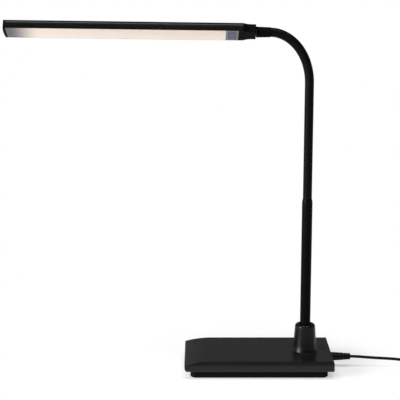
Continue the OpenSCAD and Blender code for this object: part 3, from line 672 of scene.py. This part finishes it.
stemValues = {
    "collarDiameter": 26.4,
    "collarTopDiameter": 23.8,
    "footReach": 2.0,
    "flareHeight": 11.0,        # the wall leaves the base in a curve that dies out here
    "flareBend": 2.5,
    "topRadius": 3.0,
    "mouthDiameter": 15.0,
    "mouthDepth": 4.0,
    "lip": 0.5,
    "tubeGap": 0.1,
    "taper": 3.5,               # the tube narrows to the sleeve over this length
    "taperLead": 1.0,           # and over this length before that it barely starts to
    "taperEase": 0.05,
    "taperStep": 0.25,          # what is left at its end is a small rounded step
    "taperStepHeight": 0.3,
}


def makeCollar():
    v = stemValues
    low, high = nodeSize("stem_collar")
    tubeLow, tubeHigh = nodeSize("lower_tube")
    bore = (tubeHigh[1] - tubeLow[1]) / 2 + v["tubeGap"]
    tall = high[2] - low[2]
    wide, narrow = v["collarDiameter"] / 2, v["collarTopDiameter"] / 2
    top, mouth, lip = v["topRadius"], v["mouthDiameter"] / 2, v["lip"]
    steps = 12
    flare = [(wide + v["footReach"] * (1 - i / steps) ** v["flareBend"],
              v["flareHeight"] * i / steps) for i in range(steps + 1)]
    profile = ([(bore, 0)] + flare
               + arc(narrow - top, tall - top, top, 0, 90, 10)
               + arc(mouth + lip, tall - lip, lip, 90, 180, 4)
               + [(mouth, tall - v["mouthDepth"]), (bore, tall - v["mouthDepth"]), (bore, 0)])
    collar = addTurned("stem_collar_body", profile, 96)
    place(collar, shiftBy((low[0] + high[0]) / 2, 0, low[2]))
    smooth(collar, 40)
    dress(collar, satinAbs, "base", "stem_collar")


def makeTube():
    v = stemValues
    low, high = nodeSize("lower_tube")
    collarLow, collarHigh = nodeSize("stem_collar")
    sleeveLow, sleeveHigh = nodeSize("neck_root_sleeve")
    radius = (high[1] - low[1]) / 2
    sleeveRadius = (sleeveHigh[1] - sleeveLow[1]) / 2
    taperStart = high[2] - v["taper"]
    profile = [(0, low[2]), (radius, low[2]), (radius, taperStart - v["taperLead"]),
               (radius - v["taperEase"], taperStart),
               (sleeveRadius + v["taperStep"], high[2] - v["taperStepHeight"]),
               (sleeveRadius, high[2]), (0, high[2])]
    tube = addTurned("stem_tube", profile, 64)
    place(tube, shiftBy((collarLow[0] + collarHigh[0]) / 2, 0, 0))
    smooth(tube, 40)
    dress(tube, stovedEnamel, "base", "lower_tube")


makeCollar()
makeTube()
print("stem made")


neckValues = {
    "links": 9,
    "sides": 10,                # bevel resolution of the sleeve
    "ringEvery": 2.5,
    "uprightSlack": 0.01,       # hinges this little out of line stand over each other
}


def swivelFrame():
    # the frame of the bar's swivel, with X along its axis towards the neck, and that axis
    swivel = next(j for j in frame["joints"] if j["name"] == "bar_swivel")
    along = Vector(swivel["axis"])
    along = along if along.x > 0 else -along
    turn = Matrix.Rotation(math.atan2(-along.z, along.x), 4, "Y")
    return Matrix.Translation(Vector(swivel["pos_m"])) @ turn, along


def linkPoints(start, end, heading, turn, share0, share1):
    # points from one share of a link to another, for a link that turns by so much about -Y
    chord = end - start
    count = max(2, int(chord.length * (share1 - share0) / (neckValues["ringEvery"] * mm)))
    shares = [share0 + (share1 - share0) * i / count for i in range(count + 1)]
    if turn == 0:
        return [start + chord * t for t in shares]
    radius = chord.length / (2 * math.sin(turn / 2))
    centre = start + Vector((-math.cos(heading), 0, -math.sin(heading))) * radius
    angles = [heading + turn * t for t in shares]
    return [centre + Vector((math.cos(a), 0, math.sin(a))) * radius for a in angles]


def addSleeve(name, points, radius):
    curve = bpy.data.curves.new(name, "CURVE")
    curve.dimensions = "3D"
    curve.bevel_depth = radius
    curve.bevel_resolution = neckValues["sides"]
    curve.use_fill_caps = True
    spline = curve.splines.new("POLY")
    spline.points.add(len(points) - 1)
    for point, spot in zip(spline.points, points):
        point.co = (*spot, 1)
    piece = bpy.data.objects.new(name, curve)
    bpy.context.scene.collection.objects.link(piece)
    pick(piece)
    bpy.ops.object.convert(target="MESH")
    piece = bpy.context.object
    smooth(piece, 40)
    return piece


def neckLinks():
    # each link's ends, the way it heads and how far it turns: upright between the hinges that
    # stand over each other, and then bent evenly into the line of the bar
    foot = nodeSize("neck_root_sleeve")[0][2]
    hinges = [Vector(j["pos_m"]) for j in frame["joints"] if j["name"].startswith("neck_")]
    socket, along = swivelFrame()
    ferruleEnd = nodeSize("swivel_ferrule", socket)[1][0]
    root = Vector((hinges[0].x, 0, foot * mm))
    tip = socket.translation + along * ferruleEnd * mm
    spots = [root] + hinges + [tip]
    pairs = list(zip(spots, spots[1:]))
    upright = sum(1 for a, b in pairs if abs(b.x - a.x) < neckValues["uprightSlack"] * mm)
    turn = (math.pi / 2 - math.asin(-along.z)) / (len(pairs) - upright)
    return [(start, end, max(0, k - upright) * turn, turn if k >= upright else 0)
            for k, (start, end) in enumerate(pairs)]


def makeNeck():
    # each length of sleeve crosses one hinge, from the middle of one link to that of the next
    low, high = nodeSize("neck_root_sleeve")
    radius = (high[1] - low[1]) / 2 * mm
    links = neckLinks()
    for k in range(1, len(links)):
        share = 0.0 if k == 1 else 0.5
        points = linkPoints(*links[k - 1], share, 1.0)[:-1] + linkPoints(*links[k], 0.0, 0.5)
        piece = addSleeve("neck_sleeve_part_%d" % k, points, radius)
        piece.data.materials.append(siliconeSleeve)
        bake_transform(piece)
        replaced = ["neck_sleeve_%d" % k] + (["neck_root_sleeve"] if k == 1 else [])
        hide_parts(*replaced)
    last = addSleeve("neck_sleeve_part_tip", linkPoints(*links[-1], 0.5, 1.0), radius)
    dress(last, siliconeSleeve, "neck_9", "neck_sleeve_9")


makeNeck()
print("neck made")


barValues = {
    "roll": 28.0,               # degrees
    "lift": 0.9,                # middle of the bar's thickness above the swivel's axis
    "topRadius": 5.0,
    "lowRadius": 0.8,
    "side": 0.65,               # wall beside the lens
    "cavityWidth": 22.5,
    "cavityTop": 1.3,
    "cavityRadius": 3.7,
    "diffuserThickness": 1.5,
    "fit": 0.05,                # gap beside what goes into the slot
    "neckStart": 0.4,           # full width over this length, and then drawn in to the end width
    "neckEndWidth": 19.0,
    "neckFlat": 5.0,            # length at the end that is no longer drawn in
    "neckEdge": 0.6,
    "neckSteps": 12,
    "spigotOverlap": 0.3,
    "faceGap": 0.3,             # between the neck's end and the ferrule
    "keyLength": 9.0,
    "keyWidth": 19.6,
    "keyRadius": 0.8,
    "keyGap": 0.2,
    "keyEdge": 0.3,
    "keyShort": 0.2,            # the key is drawn this much short of its solid's inner end
    "windowDepth": 9.0,         # of the cutter that opens the panel for the key
    "panelEdge": 0.18,
    "ferruleRadii": (6.1, 5.6),
    "ferruleEdge": 0.5,
    "tipBulge": 0.9,
    "tipEdge": 0.5,
    "lensCrown": 0.3,
    "lensEdge": 0.4,
    "lensBead": 1.3,            # plain strip along each edge of the lens, with a groove beside it
    "lensGroove": 0.3,
}


def barMatrix(lift):
    # the bar's own frame: along the swivel's axis, and rolled so that its light faces the front
    roll = Matrix.Rotation(math.radians(-barValues["roll"]), 4, "X")
    return swivelFrame()[0] @ roll @ shiftBy(0, 0, lift)


# what the pieces of the bar share, in millimetres, in the bar's own frame
barFrame = barMatrix(barValues["lift"])
barLow, barHigh = nodeSize("bar_housing", barFrame)
barWidth, barThick = barHigh[1] - barLow[1], barHigh[2] - barLow[2]
sideY, faceZ = barWidth / 2, barThick / 2
slotY, slotZ = sideY - barValues["side"], barValues["diffuserThickness"] - faceZ
cavityY, cavityZ = barValues["cavityWidth"] / 2, faceZ - barValues["cavityTop"]


def cavityArch():
    # the rounded ceiling of the hollow in the bar, from its +Y side to its -Y side
    radius = barValues["cavityRadius"]
    return (arc(cavityY - radius, cavityZ - radius, radius, 0, 90, 6)
            + arc(radius - cavityY, cavityZ - radius, radius, 90, 180, 6))


def barOutline():
    return roundedOutline(barWidth, barThick, barValues["topRadius"], barValues["lowRadius"], 10)


def fitToBar(piece, degrees, material, node, body="light_bar", crowned=False):
    # takes a piece from the bar's own frame to its place, and finishes it
    place(piece, barFrame)
    smooth(piece, degrees, crowned)
    dress(piece, material, body, node)


def makeHousing():
    v = barValues
    top, lip = v["topRadius"], v["lowRadius"]
    lipAngle = math.degrees(math.acos((slotY - sideY + lip) / lip))
    section = (arc(sideY - lip, lip - faceZ, lip, -lipAngle, 0, 5)
               + arc(sideY - top, faceZ - top, top, 0, 90, 12)
               + arc(top - sideY, faceZ - top, top, 90, 180, 12)
               + arc(lip - sideY, lip - faceZ, lip, 180, 180 + lipAngle, 5)
               + [(-slotY, slotZ), (-cavityY, slotZ)]
               + cavityArch()[::-1]
               + [(cavityY, slotZ), (slotY, slotZ)])
    housing = addExtruded("bar_housing_shell", section, barHigh[0], barLow[0])
    fitToBar(housing, 30, polishedAbs, "bar_housing", crowned=True)


def makeBarNeck():
    # the bar's outline, drawn in towards the swivel and rounded at its end
    v = barValues
    start = barHigh[0] + v["neckStart"]
    neck = addExtruded("bar_neck_body", barOutline(), barHigh[0], start)
    end, narrow, edge = -v["faceGap"], v["neckEndWidth"], v["neckEdge"]
    flat = end - v["neckFlat"]
    stages = []
    for i in range(1, v["neckSteps"] + 1):
        left = 1 - i / v["neckSteps"]
        stages.append((flat + (start - flat) * left, narrow + (barWidth - narrow) * left ** 2,
                       barThick))
    inset = edge * edgeShare
    stages += [(end - edge, narrow, barThick),
               (end - inset, narrow - 2 * inset, barThick - 2 * inset),
               (end, narrow - 2 * edge, barThick - 2 * edge)]
    at, wide, tall = start, barWidth, barThick
    selectFaces(neck, lambda normal: normal.x > 0.9)
    for x, newWide, newTall in stages:
        bpy.ops.mesh.extrude_region_move(
            TRANSFORM_OT_translate={"value": ((x - at) * mm, 0, 0)})
        bpy.ops.transform.resize(value=(1, newWide / wide, newTall / tall),
                                 center_override=(x * mm, 0, 0))
        at, wide, tall = x, newWide, newTall
    backToObject()
    fitToBar(neck, 25, mattAbs, "bar_neck")

    # it goes on inside the housing as far as the switch panel
    inner = slotY - v["fit"]
    room = ([(inner, -faceZ), (inner, slotZ), (cavityY, slotZ)] + cavityArch()
            + [(-cavityY, slotZ), (-inner, slotZ), (-inner, -faceZ)])
    panelHigh = nodeSize("switch_panel", barFrame)[1]
    spigot = addExtruded("bar_neck_spigot", room, panelHigh[0], barHigh[0] + v["spigotOverlap"])
    fitToBar(spigot, 25, mattAbs, "bar_neck")


def makeTipCap():
    # the bar's outline, cut off in a shallow arc
    v = barValues
    bow, end = v["tipBulge"], nodeSize("tip_cap", barFrame)[0][0]
    radius = arcRadius(sideY, bow)
    sweep = math.degrees(math.asin(sideY / radius))
    cap = addExtruded("bar_tip_cap", barOutline(), barLow[0], end - 2 * bow)
    plan = ([(barLow[0] + spare, -sideY - spare), (end, -sideY - spare)]
            + arc(end - bow + radius, 0, radius, 180 + sweep, 180 - sweep, 16)
            + [(end, sideY + spare), (barLow[0] + spare, sideY + spare)])
    keep = addExtruded("tip_plan", [(y, -x) for x, y in plan], -barThick, barThick)
    place(keep, xToZ)
    carve(cap, "INTERSECT", keep)
    softenEdges(cap, v["tipEdge"], 3, 50)
    fitToBar(cap, 35, mattAbs, "tip_cap")


def makeLens():
    v = barValues
    low, high = nodeSize("diffuser", barFrame)
    side, bead, groove, crown = slotY - v["fit"], v["lensBead"], v["lensGroove"], v["lensCrown"]
    field = side - bead - 2 * groove
    radius = arcRadius(field, crown)
    spread = math.degrees(math.asin(field / radius))
    rim = arc(v["lensEdge"] - side, low[2] + v["lensEdge"], v["lensEdge"], 180, 270, 4)
    rim += [(bead - side, low[2]), (bead + groove - side, low[2] + groove), (-field, low[2])]
    crowned = arc(0, low[2] - crown + radius, radius, 270 - spread, 270 + spread, 16)
    section = (rim + crowned[1:-1] + [(-y, z) for y, z in reversed(rim)]
               + [(side, high[2]), (-side, high[2])])
    lens = addExtruded("bar_lens", section, high[0], low[0])
    fitToBar(lens, 25, opalAcrylic, "diffuser")


def makeSwitch():
    v = barValues
    gap, keyCorner = v["keyGap"], v["keyRadius"]
    keyLow, keyHigh = nodeSize("power_key", barFrame)
    keyMiddle = (keyLow[0] + keyHigh[0]) / 2
    panelLow, panelHigh = nodeSize("switch_panel", barFrame)
    deselectAll()
    low, high = Vector(panelLow) * mm, Vector(panelHigh) * mm
    bpy.ops.mesh.primitive_cube_add(size=1, location=(low + high) / 2)
    panel = bpy.context.object
    panel.name = panel.data.name = "switch_frame"
    panel.scale = high - low
    bpy.ops.object.transform_apply(location=True, rotation=True, scale=True)
    window = addSlab("key_window", v["keyLength"] + 2 * gap, v["keyWidth"] + 2 * gap,
                     keyCorner + gap, -v["windowDepth"], 0, keyMiddle, 5)
    carve(panel, "DIFFERENCE", window)
    softenEdges(panel, v["panelEdge"], 2, 40)
    fitToBar(panel, 35, panelAbs, "switch_panel")

    key = addSlab("power_key_cap", v["keyLength"], v["keyWidth"], keyCorner, keyLow[2],
                  keyHigh[2] - v["keyShort"], keyMiddle, 5)
    bevelAtHeight(key, keyLow[2], v["keyEdge"], 3)
    fitToBar(key, 35, keyAbs, "power_key", body="power_key")


def makeFerrule():
    v = barValues
    socket = barMatrix(0)
    length = nodeSize("swivel_ferrule", socket)[1][0]
    (wide, narrow), edge = v["ferruleRadii"], v["ferruleEdge"]
    inset = edge * edgeShare
    profile = [(0, 0), (wide - edge, 0), (wide - inset, inset), (wide, edge),
               (narrow, length - edge), (narrow - inset, length - inset),
               (narrow - edge, length), (0, length)]
    ferrule = addTurned("swivel_ferrule_body", profile, 64)
    place(ferrule, socket @ zToX)
    smooth(ferrule, 40)
    dress(ferrule, mattAbs, "neck_9", "swivel_ferrule")


lensGlow = {
    # base colours: grey where the row of emitters ends is painted shade, warm where they light
    # the sheet is painted light
    "paintedUnlitGrey": "#454550",
    "paintedLitWarm": "#c4b7ac",
    "light": "#f2ded0",
    "strength": (0.1, 0.26),    # at the near and the far edge, the near edge dimmer as painted shade
    "halfWidth": 11.0,
    "haze": 6.0,
    "hazeSpan": (0.96, 1.04),
    "darkTo": -283.0,
    "litFrom": -248.0,
    "roughness": 0.4,
    "ior": 1.49,
}


def litAcrylic(name):
    # opal acrylic lit from behind by a row of emitters: a warm white, even along the bar, that
    # dies away over the last centimetres at the tip, where the row ends. Its base colour is
    # painted light and shade, warm where the emitters light the sheet and grey where the row
    # ends, and the glow is made weaker towards the near edge as painted shade
    v = lensGlow
    material, tree, shader, place3d = newMaterial(name)
    split = addNode(tree, "SeparateXYZ", links={"Vector": place3d})
    lit = addNode(tree, "MapRange", {"interpolation_type": "SMOOTHSTEP"},
                  {"From Min": v["darkTo"] * mm, "From Max": v["litFrom"] * mm},
                  {"Value": split.outputs["X"]})
    haze = addNode(tree, "TexNoise", inputs={"Scale": 1 / (v["haze"] * mm), "Detail": 2.0},
                   links={"Vector": place3d})
    even = addNode(tree, "MapRange",
                   inputs={"To Min": v["hazeSpan"][0], "To Max": v["hazeSpan"][1]},
                   links={"Value": haze.outputs["Fac"]})
    # the glow is made weaker towards the near edge: painted shade
    across = addNode(tree, "MapRange",
                     inputs={"From Min": -v["halfWidth"] * mm, "From Max": v["halfWidth"] * mm,
                             "To Min": v["strength"][0], "To Max": v["strength"][1]},
                     links={"Value": split.outputs["Y"]})
    level = addNode(tree, "Math", {"operation": "MULTIPLY"},
                    links={0: lit.outputs["Result"], 1: even.outputs["Result"]})
    glow = addNode(tree, "Math", {"operation": "MULTIPLY"},
                   links={0: level.outputs[0], 1: across.outputs[0]})
    # the base colour follows the lit mask: painted light where the emitters shine, painted shade
    # at the tip
    tint = addNode(tree, "ValToRGB", links={"Fac": lit.outputs["Result"]})
    setStops(tint, (0, 1), (v["paintedUnlitGrey"], v["paintedLitWarm"]))
    tree.links.new(tint.outputs["Color"], shader.inputs["Base Color"])
    tree.links.new(glow.outputs[0], shader.inputs["Emission Strength"])
    shader.inputs["Emission Color"].default_value = hexColour(v["light"])
    shader.inputs["Roughness"].default_value = v["roughness"]
    shader.inputs["IOR"].default_value = v["ior"]
    return material


opalAcrylic = litAcrylic("opalAcrylic")
makeHousing()
makeBarNeck()
makeTipCap()
makeLens()
makeSwitch()
makeFerrule()
print("light bar made")


plugValues = {
    "diameter": 10.2,
    "endDiameter": 7.5,
    "edge": 0.8,
    "frontEdge": 0.3,
    "ribs": 3,
    "ribPitch": 2.4,
    "ribDepth": 0.45,
    "ribSlope": 0.2,
}


def makePlug():
    v = plugValues
    low, high = nodeSize("dc_plug")
    length = high[0] - low[0]
    wide, narrow, edge = v["diameter"] / 2, v["endDiameter"] / 2, v["edge"]
    halfPitch, slope = v["ribPitch"] / 2, v["ribSlope"]
    grooves = []
    for k in range(v["ribs"]):
        at = length - edge - v["ribPitch"] * (v["ribs"] - k)
        skin = wide + (narrow - wide) * at / length
        floor = skin - v["ribDepth"]
        grooves += [(skin, at), (floor, at + slope), (floor, at + halfPitch),
                    (skin, at + halfPitch + slope)]
    profile = ([(0, 0), (wide - v["frontEdge"], 0), (wide, v["frontEdge"])] + grooves
               + [(narrow, length - edge)]
               + arc(narrow - edge, length - edge, edge, 20, 90, 4) + [(0, length)])
    plug = addTurned("dc_plug_body", profile, 48)
    place(plug, shiftBy(low[0], 0, (low[2] + high[2]) / 2) @ zToX)
    smooth(plug, 35)
    dress(plug, softVinyl, "base", "dc_plug")


makePlug()
print("plug made")


def finishNode(material, *nodes):
    # gives a CAD piece that stays its own finish
    for name in nodes:
        mesh = frame["nodes"][name].data
        mesh.materials.clear()
        mesh.materials.append(material)


# grey cast iron under a thin coat of oil: dark, dull and pitted
castIron = workedMetal("castIron", "#5a5856", "#43403e", 0.6, 1.5, 0.05)
finishNode(castIron, "counterweight_plate")
# zinc-plated steel of the screws and the washer: pale, with a faint cloud in the plating
zincSteel = workedMetal("zincSteel", "#c3c6c8", "#aeb2b4", 0.36, 1.2, 0.01)
finishNode(zincSteel, "weight_screws", "base_screws", "board_screws", "tube_washer")
# turned brass of the nut: yellow, with the marks of the lathe along its axis
turnedBrass = workedMetal("turnedBrass", "#c9a765", "#b08d4c", 0.3, 0.6, 0.01, (1, 1, 0.2))
finishNode(turnedBrass, "tube_locknut")
# nickel plate on the barrels of the plugs: smooth, bright and a little warm
nickelPlate = workedMetal("nickelPlate", "#cbc5ba", "#b7b1a6", 0.2, 0.8, 0.005)
finishNode(nickelPlate, "plug_barrel", "supply_plug_shell")
# drawn steel of the neck's core and the swivel's pin: fine marks the way it was drawn
drawnSteel = workedMetal("drawnSteel", "#b3b5b8", "#94979a", 0.38, 0.8, 0.01, (1, 1, 0.15))
finishNode(drawnSteel, "swivel_pin", "neck_root_core")
finishNode(drawnSteel, *["neck_core_%d" % k for k in range(1, neckValues["links"] + 1)])
# spring steel of the key's contact: pressed from rolled strip and left bright
springSteel = workedMetal("springSteel", "#bfc1c4", "#a6a9ac", 0.28, 0.5, 0.005, (0.2, 1, 1))
finishNode(springSteel, "key_contact")
# rolled aluminium sheet under the emitters, brushed along the bar
rolledAluminium = workedMetal("rolledAluminium", "#cfd0d2", "#bbbcbe", 0.34, 0.6, 0.01,
                              (0.1, 1, 1))
finishNode(rolledAluminium, "led_board")
# lacquered glass-fibre board: green and glossy, slightly uneven over the weave
lacqueredBoard = mouldedPlastic("lacqueredBoard", "#1f5a35", "#194a2b", 0.3, 0.9, 0.01, cloud=8)
finishNode(lacqueredBoard, "driver_board", "key_board")
# epoxy cases of the components, moulded matt
componentEpoxy = mouldedPlastic("componentEpoxy", "#242426", "#1b1b1d", 0.5, 0.4, 0.01)
finishNode(componentEpoxy, "driver_components")
# nylon body of the socket, dull from the mould
socketNylon = mouldedPlastic("socketNylon", "#1a1a1b", "#141415", 0.5, 0.6, 0.01)
finishNode(socketNylon, "dc_socket")
# red vinyl of the leads, soft and waxy
leadVinyl = mouldedPlastic("leadVinyl", "#8e2420", "#7a1d1a", 0.4, 0.8, 0.008)
finishNode(leadVinyl, "base_leads", "bar_lead")
# silicone poured over the emitters' phosphor: yellow and slightly cloudy
emitterPhosphor = mouldedPlastic("emitterPhosphor", "#e6cf6a", "#d8bd52", 0.35, 0.8, 0.01,
                                 ior=1.43, cloud=4)
finishNode(emitterPhosphor, "led_emitters")
# ABS shell of the supply's plug, moulded with a fine spark texture
supplyAbs = mouldedPlastic("supplyAbs", "#161617", "#111112", 0.45, 0.6, 0.015, level=0.3)
finishNode(supplyAbs, "supply_plug")
# nylon strap of the tie: smooth, with a slightly waxy shine
tieNylon = mouldedPlastic("tieNylon", "#141415", "#101011", 0.35, 1.0, 0.006, level=0.3)
finishNode(tieNylon, "cord_tie")
print("inner pieces finished")
